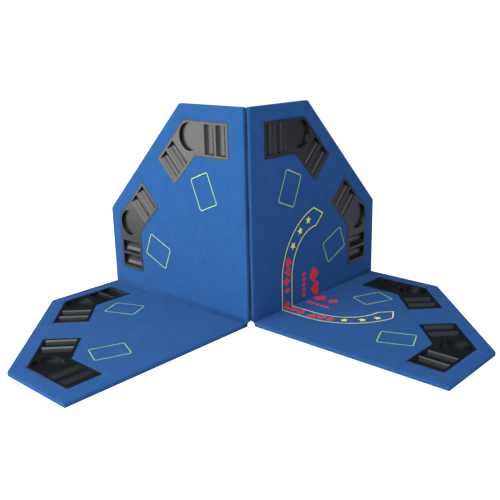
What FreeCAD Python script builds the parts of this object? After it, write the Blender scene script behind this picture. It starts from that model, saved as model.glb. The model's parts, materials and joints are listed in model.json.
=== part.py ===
import FreeCAD, Part
import os

import Sketcher
from FreeCAD import Placement, Rotation, Vector

# A folding blackjack and poker table top: an octagon cut into four quarter panels.
# A textile fold joins each base panel to its upright panel along the play face, and
# three butt hinges join the two upright panels along the back of the centre seam.
# It is drawn half folded: the two base panels lie on the ground with the play face up,
# and the two upright panels stand on their folds in a V, back to back.
#
# A panel is drawn in its own frame, with its back face in the XY plane and its play
# face towards +Z. "along" is the distance along the fold from the centre seam, and
# "out" is the distance from the fold. The middle of the open octagon is one edge gap
# outside the corner that the fold and the seam make.

SIZES = (
    ("open_width", 1219.2, "across the flats of the open octagon"),
    ("edge_gap", 0.6, "panel edge to the fold axis or seam axis beside it"),
    ("fold_lift", 1.5, "fold axis in front of the play face"),
    ("seam_drop", 0.3, "seam axis behind the back face"),
    ("stand_angle", 45.0, "each upright to the fore-and-aft plane, in degrees"),
    ("cover_thick", 1.0, "fibre sheet on the back"),
    ("board_thick", 7.5, "board of a panel"),
    ("foam_thick", 1.5, "foam under the felt, and the webbing beside it"),
    ("felt_thick", 1.0, "felt"),
    ("vertex_radius", 12.0, "rounding of the octagon's vertices"),
    ("corner_radius", 3.0, "rounding of a panel's square corners"),
    ("hem_width", 22.0, "felt turned in over the back"),
    ("webbing_width", 25.0, "half of the webbing that carries a fold"),
    ("tray_border", 44.5, "octagon side to the tray"),
    ("tray_width", 103.0, "tray from its outer to its inner edge"),
    ("tray_end", 58.0, "middle of an octagon side to the end of the tray beside it"),
    ("tray_corner", 3.0, "rounding of the tray's corners"),
    ("flange_lap", 5.0, "flange resting on the felt"),
    ("flange_thick", 0.8, "flange"),
    ("tray_wall", 1.0, "walls and floors of the tray's wells"),
    ("well_depth", 9.4, "depth of the chip slots and the cup"),
    ("slot_width", 37.5, "chip slot across its mouth"),
    ("slot_length", 86.0, "chip slot"),
    ("slot_rib", 8.5, "rib between two chip slots"),
    ("slot_margin", 10.0, "end of the tray to the first chip slot"),
    ("cup_radius", 41.5, "cup at its mouth"),
    ("cup_floor_radius", 40.0, "cup at its floor"),
    ("cup_inset", 48.0, "middle of the cup to the tray's outer edges"),
    ("leaf_length", 63.0, "hinge leaf along the seam"),
    ("leaf_width", 18.0, "panel edge to the far side of a hinge leaf"),
    ("leaf_thick", 1.0, "hinge leaf"),
    ("leaf_play", 0.2, "gap round a leaf in the hem"),
    ("knuckle_radius", 2.25, "hinge knuckle"),
    ("knuckle_play", 0.4, "gap round a knuckle"),
    ("knuckle_count", 5, "knuckles of one hinge"),
    ("knuckle_gap", 0.4, "gap between two knuckles"),
    ("bore_radius", 1.3, "bore of a knuckle"),
    ("pin_radius", 1.25, "hinge pin"),
    ("pin_chamfer", 0.3, "ends of the pin"),
    ("hinge_low", 45.0, "panel's lower edge to the lowest hinge"),
    ("hinge_step", 228.0, "from one hinge to the next"),
    ("screw_head_radius", 2.5, "countersunk screw head"),
    ("screw_radius", 1.25, "screw thread"),
    ("pilot_radius", 1.0, "hole that the screw is driven into"),
    ("screw_length", 6.5, "screw with its head"),
    ("recess_length", 2.6, "cross recess of the screw"),
    ("recess_width", 0.5, "cross recess of the screw"),
    ("recess_depth", 0.5, "cross recess of the screw"),
    ("screw_near", 7.0, "panel edge to the nearer screws of a leaf"),
    ("screw_far", 13.0, "panel edge to the further screw of a leaf"),
    ("screw_margin", 10.0, "end of a leaf to its first screw"),
)

HALF_TURN = "22.5 deg"  # half of the angle between two sides' normals
UP = Vector(0, 0, 1)

# Heights in a panel's frame, from its back face at zero.
BOARD_TOP = "(Sizes.cover_thick + Sizes.board_thick)"
FOAM_TOP = f"({BOARD_TOP} + Sizes.foam_thick)"
PLAY_FACE = f"({FOAM_TOP} + Sizes.felt_thick)"
FLANGE_TOP = f"({PLAY_FACE} + Sizes.flange_thick)"

# Extent of a panel in its own frame.
REACH = "(Sizes.open_width / 2 - Sizes.edge_gap)"
SHOULDER = f"(Sizes.open_width / 2 * tan({HALF_TURN}) - Sizes.edge_gap)"

# Distances of a tray's edges from the middle of the octagon.
TRAY_OUTER = "(Sizes.open_width / 2 - Sizes.tray_border)"
TRAY_INNER = f"({TRAY_OUTER} - Sizes.tray_width)"

# Radius that makes a trough of the slot's width and depth.
TROUGH_RADIUS = "(Sizes.slot_width ^ 2 / (8 * Sizes.well_depth) + Sizes.well_depth / 2)"

HINGES = ("lower", "middle", "upper")

doc = FreeCAD.newDocument("folding_card_table")
sheet = doc.addObject("Spreadsheet::Sheet", "Sizes")
for row, (alias, size, meaning) in enumerate(SIZES, start=1):
    sheet.set(f"A{row}", meaning)
    sheet.set(f"B{row}", str(size))
    sheet.setAlias(f"B{row}", alias)
doc.recompute()

parts = []  # every finished sub-part


def measure(expression):
    """The number that an expression over the sheet gives."""
    result = sheet.evalExpression(expression.replace("Sizes.", ""))
    return float(getattr(result, "Value", result))


def new_body(name, placement):
    """A body for one sub-part, put in its place."""
    body = doc.addObject("PartDesign::Body", name)
    body.Label = name
    body.Placement = placement
    parts.append(body)
    return body


def base_plane(body):
    return next(f for f in body.Origin.OriginFeatures if f.Role == "XY_Plane")


def flat_sketch(body, name, corners, height, offset=("0", "0"), turn=0):
    """A polygon at a height over the body's XY plane, each corner bound to the sheet."""
    sketch = body.newObject("Sketcher::SketchObject", name)
    sketch.AttachmentSupport = (base_plane(body), [""])
    sketch.MapMode = "FlatFace"
    sketch.AttachmentOffset = Placement(Vector(), Rotation(UP, turn))
    for axis, expression in zip("xyz", (*offset, height)):
        sketch.setExpression(f"AttachmentOffset.Base.{axis}", expression)
    points = [Vector(measure(x), measure(y), 0) for x, y in corners]
    count = len(points)
    for start, point in enumerate(points):
        sketch.addGeometry(Part.LineSegment(point, points[(start + 1) % count]), False)
    for line in range(count):
        after = (line + 1) % count
        sketch.addConstraint(Sketcher.Constraint("Coincident", line, 2, after, 1))
    for line, (expressions, point) in enumerate(zip(corners, points)):
        for kind, expression, place in zip(("DistanceX", "DistanceY"), expressions, point):
            held = sketch.addConstraint(Sketcher.Constraint(kind, -1, 1, line, 1, place))
            sketch.setExpression(f"Constraints[{held}]", expression)
    return sketch


def pad(body, sketch, length):
    """Material from the sketch upwards."""
    feature = body.newObject("PartDesign::Pad", sketch.Name + "_pad")
    feature.Profile = sketch
    feature.setExpression("Length", length)
    doc.recompute()
    return feature


def pocket(body, sketch, length):
    """A hollow from the sketch downwards, which has to take something away."""
    doc.recompute()
    before = body.Shape.Volume
    feature = body.newObject("PartDesign::Pocket", sketch.Name + "_pocket")
    feature.Profile = sketch
    feature.setExpression("Length", length)
    doc.recompute()
    if body.Shape.Volume >= before:
        raise RuntimeError(f"{feature.Name} takes nothing away")
    return feature


def round_corners(body, corners, radius):
    """Round the upright edges that stand at the given corners."""
    base = body.Tip
    places = [Vector(measure(x), measure(y), 0) for x, y in corners]
    names = []
    for number, edge in enumerate(base.Shape.Edges, start=1):
        foot, head = (vertex.Point for vertex in (edge.Vertexes[0], edge.Vertexes[-1]))
        upright = Vector(foot.x, foot.y, 0).distanceToPoint(Vector(head.x, head.y, 0)) < 0.001
        at_corner = any(Vector(foot.x, foot.y, 0).distanceToPoint(p) < 0.01 for p in places)
        if upright and at_corner:
            names.append(f"Edge{number}")
    if len(names) < len(corners):
        raise RuntimeError(f"{body.Label} has only {len(names)} edges to round")
    feature = body.newObject("PartDesign::Fillet", body.Name + "_rounding")
    feature.Base = (base, names)
    feature.setExpression("Radius", radius)
    doc.recompute()


def primitive(body, kind, base, direction=UP, **sizes):
    """An additive or subtractive box, cylinder or cone whose own Z runs along direction."""
    feature = body.newObject("PartDesign::" + kind, body.Name + "_" + kind)
    feature.Placement = Placement(Vector(), Rotation(UP, direction))
    for axis, expression in zip("xyz", base):
        feature.setExpression(f"Placement.Base.{axis}", expression)
    for size, expression in sizes.items():
        feature.setExpression(size, expression)
    return feature


class Panel:
    """One quarter of the octagon: its name, its place and which way its fold runs."""

    def __init__(self, side, upright):
        self.name = ("left" if side < 0 else "right") + ("_upright" if upright else "_base")
        self.upright = upright
        self.fold_on_x = (side < 0) != upright
        spread = Rotation(UP, side * (90 - measure("Sizes.stand_angle")))
        self.along = spread.multVec(Vector(side, 0, 0))
        self.normal_across = spread.multVec(Vector(0, -1, 0))
        self.out = UP if upright else self.normal_across
        self.play_normal = self.normal_across if upright else UP
        if self.fold_on_x:
            turn = Rotation(self.along, self.out, self.play_normal, "XYZ")
        else:
            turn = Rotation(self.out, self.along, self.play_normal, "XYZ")
        self.placement = Placement(self.corner_place(), turn)

    def corner_place(self):
        """Where the fold and the seam meet on the panel's back face."""
        gap = measure("Sizes.edge_gap")
        fold_height = measure(f"{PLAY_FACE} + Sizes.fold_lift")
        place = Vector(0, seam_back(), 0) + self.along * gap
        place += self.normal_across * measure("Sizes.seam_drop")
        if self.upright:
            return place + UP * (fold_height + gap)
        return place + self.normal_across * (fold_height + gap)

    def at(self, along, out):
        """The x and y of a place on the panel."""
        return (along, out) if self.fold_on_x else (out, along)

    def outline(self, inset="0", past_fold="0"):
        """The panel's corners, drawn in by inset except at the fold."""
        diagonal = f"({inset}) * tan({HALF_TURN})"
        reach = f"{REACH} - ({inset})"
        shoulder = f"{SHOULDER} - {diagonal}"
        fold = f"0 - ({past_fold})"
        return [
            self.at(inset, fold),
            self.at(reach, fold),
            self.at(reach, shoulder),
            self.at(shoulder, reach),
            self.at(inset, reach),
        ]

    def vertices(self, inset="0"):
        return self.outline(inset)[2:4]

    def square_corners(self, inset="0"):
        """The square corners that the felt wraps, away from the fold."""
        return self.outline(inset)[4:5]

    def round_outline(self, body, inset="0"):
        """Round the wrapped corners of an outline that is drawn in by inset."""
        round_corners(body, self.vertices(inset), f"Sizes.vertex_radius - ({inset})")
        if measure("Sizes.corner_radius") > measure(inset):
            round_corners(body, self.square_corners(inset), f"Sizes.corner_radius - ({inset})")


def seam_back():
    """How far behind the middle of the footprint the seam axis stands."""
    lean = Rotation(UP, measure("Sizes.stand_angle")).multVec(Vector(0, 1, 0)).y
    fold_offset = measure(f"Sizes.seam_drop + {PLAY_FACE} + Sizes.fold_lift + Sizes.edge_gap")
    rounding = measure("Sizes.corner_radius * (sqrt(2) - 1)")
    behind = lean * measure("Sizes.edge_gap - Sizes.seam_drop")
    before = lean * (measure("Sizes.edge_gap") - fold_offset) + rounding
    return -(behind + before) / 2


def tray_corner(distance, end, side):
    """A place in a tray's frame: its distance from the middle of the octagon, measured
    square to an octagon side, and how far short of the middle of that side it is."""
    return (
        f"({distance}) * cos({HALF_TURN}) + ({end}) * sin({HALF_TURN})",
        f"({side}) * (({distance}) * sin({HALF_TURN}) - ({end}) * cos({HALF_TURN}))",
    )


def tray_outline(inset="0"):
    """The tray's chevron, with its bend on the X axis, drawn in by inset."""
    outer = f"{TRAY_OUTER} - ({inset})"
    inner = f"{TRAY_INNER} + ({inset})"
    end = f"Sizes.tray_end + ({inset})"
    return [
        (f"({outer}) / cos({HALF_TURN})", "0"),
        tray_corner(outer, end, 1),
        tray_corner(inner, end, 1),
        (f"({inner}) / cos({HALF_TURN})", "0"),
        tray_corner(inner, end, -1),
        tray_corner(outer, end, -1),
    ]


# A panel's two trays, by the angle of their bend from the panel's X axis.
def tray_turns(panel):
    seam_turn = 67.5 if panel.fold_on_x else 22.5
    return {"seam_side_tray": seam_turn, "fold_side_tray": 90 - seam_turn}


def cut_tray_holes(body, panel, top, depth):
    """Open the two holes that the trays hang in."""
    middle = ("0 - Sizes.edge_gap", "0 - Sizes.edge_gap")
    for name, turn in tray_turns(panel).items():
        hole = flat_sketch(
            body, f"{body.Name}_{name}_hole", tray_outline("Sizes.flange_lap"), top, middle, turn
        )
        pocket(body, hole, depth)


def out_direction(panel):
    return Vector(0, 1, 0) if panel.fold_on_x else Vector(1, 0, 0)


def hinge_start(number):
    """The lower end of a hinge, from the panel's lower edge."""
    return f"(Sizes.hinge_low + {number} * Sizes.hinge_step)"


def clear_knuckles(body, panel):
    """Hollow the seam edge round the knuckles of the three hinges."""
    for number in range(len(HINGES)):
        x, y = panel.at("0 - Sizes.edge_gap", f"{hinge_start(number)} - Sizes.knuckle_play")
        primitive(
            body,
            "SubtractiveCylinder",
            (x, y, "0 - Sizes.seam_drop"),
            out_direction(panel),
            Radius="Sizes.knuckle_radius + Sizes.knuckle_play",
            Height="Sizes.leaf_length + 2 * Sizes.knuckle_play",
        )


def screw_places():
    """The screws of one leaf: their distance from the panel's edge and along the leaf."""
    middle = "Sizes.leaf_length / 2"
    last = "(Sizes.leaf_length - Sizes.screw_margin)"
    return (
        ("Sizes.screw_near", "Sizes.screw_margin"),
        ("Sizes.screw_far", middle),
        ("Sizes.screw_near", last),
    )


def make_board(panel):
    """The stiff board, one felt thickness inside the panel's wrapped edges."""
    body = new_body(f"{panel.name}_board", panel.placement)
    outline = panel.outline("Sizes.felt_thick")
    pad(body, flat_sketch(body, f"{body.Name}_outline", outline, "Sizes.cover_thick"),
        "Sizes.board_thick")
    panel.round_outline(body, "Sizes.felt_thick")
    cut_tray_holes(body, panel, BOARD_TOP, "Sizes.board_thick")
    if panel.upright:
        clear_knuckles(body, panel)
        for number in range(len(HINGES)):
            for across, along_leaf in screw_places():
                x, y = panel.at(across, f"{hinge_start(number)} + {along_leaf}")
                primitive(
                    body,
                    "SubtractiveCylinder",
                    (x, y, "0"),
                    Radius="Sizes.pilot_radius",
                    Height="Sizes.screw_length",
                )


def make_foam(panel):
    """The foam under the felt, which stops at the webbing."""
    body = new_body(f"{panel.name}_foam_pad", panel.placement)
    outline = panel.outline("Sizes.felt_thick", "0 - Sizes.webbing_width")
    pad(body, flat_sketch(body, f"{body.Name}_outline", outline, BOARD_TOP), "Sizes.foam_thick")
    panel.round_outline(body, "Sizes.felt_thick")
    cut_tray_holes(body, panel, FOAM_TOP, "Sizes.foam_thick")


def make_webbing(panel):
    """Half of the webbing that carries the fold, glued to the board beside the foam."""
    body = new_body(f"{panel.name}_fold_webbing", panel.placement)
    far = f"{REACH} - Sizes.felt_thick"
    outline = [
        panel.at("Sizes.felt_thick", "0"),
        panel.at(far, "0"),
        panel.at(far, "Sizes.webbing_width"),
        panel.at("Sizes.felt_thick", "Sizes.webbing_width"),
    ]
    pad(body, flat_sketch(body, f"{body.Name}_outline", outline, BOARD_TOP), "Sizes.foam_thick")


def make_felt(panel):
    """The felt, over the play face, round the wrapped edges and hemmed on the back."""
    body = new_body(f"{panel.name}_felt", panel.placement)
    pad(body, flat_sketch(body, f"{body.Name}_outline", panel.outline(), "0"), PLAY_FACE)
    panel.round_outline(body)
    past = "Sizes.felt_thick"
    inside = panel.outline("Sizes.felt_thick", past)
    pocket(body, flat_sketch(body, f"{body.Name}_inside", inside, FOAM_TOP),
           f"{FOAM_TOP} - Sizes.cover_thick")
    panel.round_outline(body, "Sizes.felt_thick")
    opening = panel.outline("Sizes.hem_width", past)
    pocket(body, flat_sketch(body, f"{body.Name}_hem", opening, "Sizes.cover_thick"),
           "Sizes.cover_thick")
    cut_tray_holes(body, panel, PLAY_FACE, "Sizes.felt_thick")
    if panel.upright:
        clear_knuckles(body, panel)
        for number in range(len(HINGES)):
            start = f"{hinge_start(number)} - Sizes.leaf_play"
            end = f"{hinge_start(number)} + Sizes.leaf_length + Sizes.leaf_play"
            width = "Sizes.leaf_width + Sizes.leaf_play"
            edge = "0 - Sizes.felt_thick"
            window = [
                panel.at(edge, start),
                panel.at(width, start),
                panel.at(width, end),
                panel.at(edge, end),
            ]
            pocket(body, flat_sketch(body, f"{body.Name}_leaf", window, "Sizes.leaf_thick"),
                   "Sizes.leaf_thick")


def make_back_cover(panel):
    """The fibre sheet that fills the back inside the hem."""
    body = new_body(f"{panel.name}_back_cover", panel.placement)
    outline = panel.outline("Sizes.hem_width")
    pad(body, flat_sketch(body, f"{body.Name}_outline", outline, "0"), "Sizes.cover_thick")


def make_tray(panel, name, turn):
    """A moulded tray: a flange on the felt, four chip slots and a cup."""
    gap = measure("Sizes.edge_gap")
    own_place = Placement(Vector(-gap, -gap, 0), Rotation(UP, turn))
    body = new_body(f"{panel.name}_{name}", panel.placement * own_place)
    corners = tray_outline()
    pad(body, flat_sketch(body, f"{body.Name}_flange", corners, PLAY_FACE), "Sizes.flange_thick")
    round_corners(body, corners, "Sizes.tray_corner")

    cup_middle = f"({TRAY_OUTER} - Sizes.cup_inset) / cos({HALF_TURN})"
    well_floor = f"{FLANGE_TOP} - Sizes.well_depth"
    trough_axis = f"{well_floor} + {TROUGH_RADIUS}"
    side_margin = "(Sizes.tray_width - Sizes.slot_length) / 2"
    normals = {side: Rotation(UP, side * 22.5).multVec(Vector(1, 0, 0)) for side in (1, -1)}

    def troughs(kind, wall):
        for side, normal in normals.items():
            for number in range(2):
                end = (
                    "Sizes.tray_end + Sizes.slot_margin + Sizes.slot_width / 2"
                    f" + {number} * (Sizes.slot_width + Sizes.slot_rib)"
                )
                x, y = tray_corner(f"{TRAY_OUTER} - {side_margin} + {wall}", end, side)
                primitive(
                    body,
                    kind,
                    (x, y, trough_axis),
                    normal * -1,
                    Radius=f"{TROUGH_RADIUS} + {wall}",
                    Height=f"Sizes.slot_length + 2 * {wall}",
                )

    troughs("AdditiveCylinder", "Sizes.tray_wall")
    primitive(
        body,
        "AdditiveCone",
        (cup_middle, "0", f"{well_floor} - Sizes.tray_wall"),
        Radius1="Sizes.cup_floor_radius + Sizes.tray_wall",
        Radius2="Sizes.cup_radius + Sizes.tray_wall",
        Height="Sizes.well_depth + Sizes.tray_wall",
    )
    primitive(
        body,
        "SubtractiveBox",
        ("0", "0 - Sizes.open_width / 2", FLANGE_TOP),
        Length="Sizes.open_width",
        Width="Sizes.open_width",
        Height=f"3 * {TROUGH_RADIUS}",
    )
    troughs("SubtractiveCylinder", "0")
    primitive(
        body,
        "SubtractiveCone",
        (cup_middle, "0", well_floor),
        Radius1="Sizes.cup_floor_radius",
        Radius2="Sizes.cup_radius",
        Height="Sizes.well_depth",
    )
    doc.recompute()


def hinge_placement(panel, number):
    """A hinge's frame on a panel: X away from the seam, Y towards the play face and Z
    along the pin, from the end that keeps the frame right-handed."""
    pin = panel.along.cross(panel.normal_across)
    start = measure(hinge_start(number))
    if pin.z < 0:
        start += measure("Sizes.leaf_length")
    place = panel.placement.Base + UP * start
    place -= panel.along * measure("Sizes.edge_gap")
    place -= panel.normal_across * measure("Sizes.seam_drop")
    return Placement(place, Rotation(panel.along, panel.normal_across, pin, "XYZ"))


def make_hinge_leaf(panel, number):
    """One leaf of a butt hinge, let into the hem, with its own knuckles."""
    name = f"{HINGES[number]}_hinge_{panel.name.split('_')[0]}_leaf"
    body = new_body(name, hinge_placement(panel, number))
    plate_start = "(Sizes.knuckle_radius + Sizes.knuckle_play)"
    primitive(
        body,
        "AdditiveBox",
        (plate_start, "Sizes.seam_drop", "0"),
        Length=f"Sizes.edge_gap + Sizes.leaf_width - {plate_start}",
        Width="Sizes.leaf_thick",
        Height="Sizes.leaf_length",
    )
    pitch = "Sizes.leaf_length / Sizes.knuckle_count"
    first = 0 if panel.name.startswith("left") else 1
    for place in range(first, int(measure("Sizes.knuckle_count")), 2):
        start = f"{place} * {pitch} + Sizes.knuckle_gap / 2"
        height = f"{pitch} - Sizes.knuckle_gap"
        primitive(
            body,
            "AdditiveBox",
            ("0", "Sizes.seam_drop", start),
            Length=f"{plate_start} + Sizes.leaf_thick",
            Width="Sizes.leaf_thick",
            Height=height,
        )
        primitive(
            body,
            "AdditiveCylinder",
            ("0", "0", start),
            Radius="Sizes.knuckle_radius",
            Height=height,
        )
    primitive(
        body,
        "SubtractiveCylinder",
        ("0", "0", "0"),
        Radius="Sizes.bore_radius",
        Height="Sizes.leaf_length",
    )
    for across, along_leaf in screw_places():
        primitive(
            body,
            "SubtractiveCone",
            (f"Sizes.edge_gap + {across}", "Sizes.seam_drop", along_leaf),
            Vector(0, 1, 0),
            Radius1="Sizes.screw_head_radius",
            Radius2="Sizes.screw_radius",
            Height="Sizes.leaf_thick",
        )
    doc.recompute()


def make_hinge_pin(panel, number):
    """The pin of a butt hinge, a running fit in its knuckles."""
    body = new_body(f"{HINGES[number]}_hinge_pin", hinge_placement(panel, number))
    pin = primitive(
        body,
        "AdditiveCylinder",
        ("0", "0", "0"),
        Radius="Sizes.pin_radius",
        Height="Sizes.leaf_length",
    )
    doc.recompute()
    rims = [
        f"Edge{number}"
        for number, edge in enumerate(pin.Shape.Edges, start=1)
        if isinstance(edge.Curve, Part.Circle)
    ]
    ends = body.newObject("PartDesign::Chamfer", body.Name + "_ends")
    ends.Base = (pin, rims)
    ends.setExpression("Size", "Sizes.pin_chamfer")
    doc.recompute()


def make_screws(panel):
    """The countersunk screws of the leaves on one upright panel."""
    body = new_body(f"{panel.name.split('_')[0]}_hinge_screws", panel.placement)
    places = [
        panel.at(across, f"{hinge_start(number)} + {along_leaf}")
        for number in range(len(HINGES))
        for across, along_leaf in screw_places()
    ]
    for x, y in places:
        primitive(
            body,
            "AdditiveCone",
            (x, y, "0"),
            Radius1="Sizes.screw_head_radius",
            Radius2="Sizes.screw_radius",
            Height="Sizes.leaf_thick",
        )
        primitive(
            body,
            "AdditiveCylinder",
            (x, y, "0"),
            Radius="Sizes.screw_radius",
            Height="Sizes.screw_length",
        )
        for length, width in (("length", "width"), ("width", "length")):
            primitive(
                body,
                "SubtractiveBox",
                (f"{x} - Sizes.recess_{length} / 2", f"{y} - Sizes.recess_{width} / 2", "0"),
                Length=f"Sizes.recess_{length}",
                Width=f"Sizes.recess_{width}",
                Height="Sizes.recess_depth",
            )
    doc.recompute()


panels = [Panel(side, upright) for side in (-1, 1) for upright in (False, True)]
for panel in panels:
    make_board(panel)
    make_foam(panel)
    make_webbing(panel)
    make_felt(panel)
    make_back_cover(panel)
    for tray, turn in tray_turns(panel).items():
        make_tray(panel, tray, turn)

uprights = [panel for panel in panels if panel.upright]
for number in range(len(HINGES)):
    for panel in uprights:
        make_hinge_leaf(panel, number)
    make_hinge_pin(uprights[0], number)
for panel in uprights:
    make_screws(panel)

doc.recompute()
for item in doc.Objects:
    if {"Invalid", "Error"} & set(item.State):
        raise RuntimeError(f"{item.Label}: {item.State}")

os.makedirs("parts", exist_ok=True)
whole = FreeCAD.BoundBox()
for part in parts:
    if part.Shape.isNull() or not part.Shape.isValid():
        raise RuntimeError(f"{part.Label} has no valid shape")
    part.Shape.exportStep(f"parts/{part.Label}.step")
    whole.add(part.Shape.BoundBox)
    print(f"{part.Label}: {len(part.Shape.Solids)} solids, {part.Shape.Volume / 1000:.1f} cm3")
print(f"{len(parts)} parts, {whole}")
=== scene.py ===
import json
import math

import bmesh
import bpy
import numpy as np
from mathutils import Matrix, Vector, geometry


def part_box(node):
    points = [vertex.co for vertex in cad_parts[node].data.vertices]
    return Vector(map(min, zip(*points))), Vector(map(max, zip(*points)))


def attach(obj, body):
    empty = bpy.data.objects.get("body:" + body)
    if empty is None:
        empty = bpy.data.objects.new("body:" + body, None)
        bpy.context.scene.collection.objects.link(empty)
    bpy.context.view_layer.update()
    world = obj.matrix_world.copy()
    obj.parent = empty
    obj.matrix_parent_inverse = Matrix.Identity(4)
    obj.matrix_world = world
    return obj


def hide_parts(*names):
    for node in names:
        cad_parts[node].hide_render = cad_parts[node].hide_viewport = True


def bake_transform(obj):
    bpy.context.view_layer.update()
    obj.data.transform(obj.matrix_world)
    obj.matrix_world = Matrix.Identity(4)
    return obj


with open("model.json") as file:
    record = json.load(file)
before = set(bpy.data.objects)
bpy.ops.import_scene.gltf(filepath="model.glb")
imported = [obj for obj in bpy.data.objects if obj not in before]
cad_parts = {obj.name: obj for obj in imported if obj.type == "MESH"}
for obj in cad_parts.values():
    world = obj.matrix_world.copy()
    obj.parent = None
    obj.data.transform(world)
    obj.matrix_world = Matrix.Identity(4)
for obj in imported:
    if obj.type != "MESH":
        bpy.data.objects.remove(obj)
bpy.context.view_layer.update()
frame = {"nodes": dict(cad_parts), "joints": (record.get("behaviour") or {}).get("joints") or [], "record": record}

# A folding card table top of four quarter panels, half folded. Each half, left and
# right, is a base panel that lies flat and an upright panel that stands on the fold.
# Lengths are in metres. On a panel, "along" is the distance along the fold from the
# centre seam and "out" is the distance from the fold. "depth" is below the play face.

MM = 0.001
UP = Vector((0, 0, 1))
SIDES = ("left", "right")
LEVELS = ("base", "upright")
HALF_TURN = math.radians(22.5)
TRAY_TURNS = {"fold_side": HALF_TURN, "seam_side": 3 * HALF_TURN}  # round the octagon's middle

FELT_THICK = 1.0 * MM
FOAM_THICK = 1.5 * MM
# The felt and the webbing are a little thinner than their CAD solids, to clear what they lie on.
FELT_SHARE = 0.96
WEBBING_SHARE = 0.97
WEBBING_WIDTH = 25 * MM  # on each panel
WEBBING_STEPS = 30
PLAY_ROLL = 2.6 * MM  # rounding of the felt from the play face to the side
BACK_ROLL = 1.0 * MM  # rounding of the felt from the side to the back
HEM_WIDTH = 22 * MM
VERTEX_RADIUS = 12 * MM
CORNER_RADIUS = 3 * MM
LEAST_RADIUS = 0.4 * MM  # corners of the inner rings, which would be sharp
ARC_STEPS = 6
WRAP_STEPS = 5
HEM_STEPS = 3
LONG_SIDE = 100 * MM  # sides of the panel's edge longer than this are divided
SIDE_STEPS = 8
WELD = 0.01 * MM
FELT_GRID = 24 * MM
FOLD_SPAN = 3 * MM  # what the bend of the felt takes up on the flat layout
FOLD_STEPS = 10

TRAY_BORDER = 44.5 * MM
TRAY_WIDTH = 103 * MM
TRAY_END = 58 * MM
FLANGE_LAP = 5 * MM

LEAF_WIDTH = 18 * MM
LEAF_PLAY = 0.2 * MM
KNUCKLE_WINDOW = 2.4 * MM  # how high on the seam side the felt is cut for the knuckles
HINGES = ("lower", "middle", "upper")

LEAST_MITRE = 0.3  # keeps a sharp corner of a line of ink from running out to a spike
BOX_INK = {"left": 2.3 * MM, "right": 2.7 * MM}
BAND_INK = 3.1 * MM
BOX_WIDTH = 73 * MM
BOX_LENGTH = 97 * MM
BOX_CORNER = 6 * MM
BOX_RADIUS = 404 * MM  # middle of the octagon to the middle of a betting box
# How far each panel's boxes are printed off their regular places: along and out.
BOX_SHIFT = {
    "left_base": (-3 * MM, -2 * MM),
    "left_upright": (9 * MM, -12 * MM),
    "right_base": (9 * MM, -3 * MM),
    "right_upright": (13 * MM, -10 * MM),
}

BEAD_PLACE = 1.9 * MM  # middle of the bead from the edge of the tray's flange
BEAD_HALF = 1.1 * MM
BEAD_RISE = 0.5 * MM
BEAD_ROOT = 0.2 * MM
BEAD_STEPS = 6
FLANGE_THICK = 0.8 * MM
TRAY_CORNER = 3 * MM

TAPE_WIDTH = 14 * MM  # on each panel
TAPE_START = 0.9 * MM  # where the tape leaves the panel's back to cross the seam
TAPE_CLEAR = 0.04 * MM
TAPE_THICK = 0.18 * MM
TAPE_DIP = 0.35  # how far the tape's middle is drawn in to the seam's axis, as a share
TAPE_STEPS = 12
TAPE_SPACING = 12 * MM
SEAM_END = 2 * MM  # the tape stops this far from each end of the seam


# ---------------------------------------------------------------- the halves


def joint(name):
    return next(j for j in frame["joints"] if j["name"] == name)


class Half:
    """One half of the table: the places on its two panels and on the fold between them."""

    def __init__(self, side):
        self.side = side
        fold = joint(f"{side}_fold")
        self.fold = Vector(fold["pos_m"])
        self.along = Vector(fold["axis"]).normalized()
        self.across = self.along.cross(UP)
        if self.across.y > 0:
            self.across.negate()
        play_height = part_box(f"{side}_base_felt")[1].z
        low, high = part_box(f"{side}_upright_felt")
        self.thick = play_height
        self.lift = self.fold.z - play_height
        self.gap = low.z - self.fold.z
        self.reach = high.z - low.z
        self.middle_to_side = self.reach + self.gap
        self.shoulder = self.middle_to_side * math.tan(HALF_TURN) - self.gap
        self.bend_radius = math.hypot(self.gap, self.lift)
        self.bend_start = math.atan2(-self.lift, self.gap)
        self.bend_end = math.atan2(self.gap, -self.lift) - 2 * math.pi

    def place(self, along, forward, height):
        """A point by its distance along the fold, and forward of and above the fold axis."""
        start = self.fold + self.along * (self.gap + along)
        return start + self.across * forward + UP * height

    def on_panel(self, level, along, out, depth):
        beside, beneath = self.gap + out, -self.lift - depth
        if level == "base":
            return self.place(along, beside, beneath)
        return self.place(along, beneath, beside)

    def on_bend(self, along, share, depth):
        """On the bend, share runs from 0 at the base panel to 1 at the upright panel."""
        turn = self.bend_start + (self.bend_end - self.bend_start) * share
        radius = self.bend_radius + depth
        return self.place(along, radius * math.cos(turn), radius * math.sin(turn))

    def on_layout(self, along, across, depth, span=FOLD_SPAN):
        """Across the flat layout: positive on the base panel, negative on the upright."""
        if across >= span / 2:
            return self.on_panel("base", along, across - span / 2, depth)
        if across <= -span / 2:
            return self.on_panel("upright", along, -across - span / 2, depth)
        return self.on_bend(along, 0.5 - across / span, depth)

    def blend(self, piece, depth=0.0):
        """Bakes the piece's placement into its mesh, which is already built bent between the two panels."""
        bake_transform(piece)


def arc(centre, radius, start, end, steps):
    """Points on an arc, in radians, both ends included."""
    turns = (start + (end - start) * k / steps for k in range(steps + 1))
    return [(centre[0] + radius * math.cos(t), centre[1] + radius * math.sin(t)) for t in turns]


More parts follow.
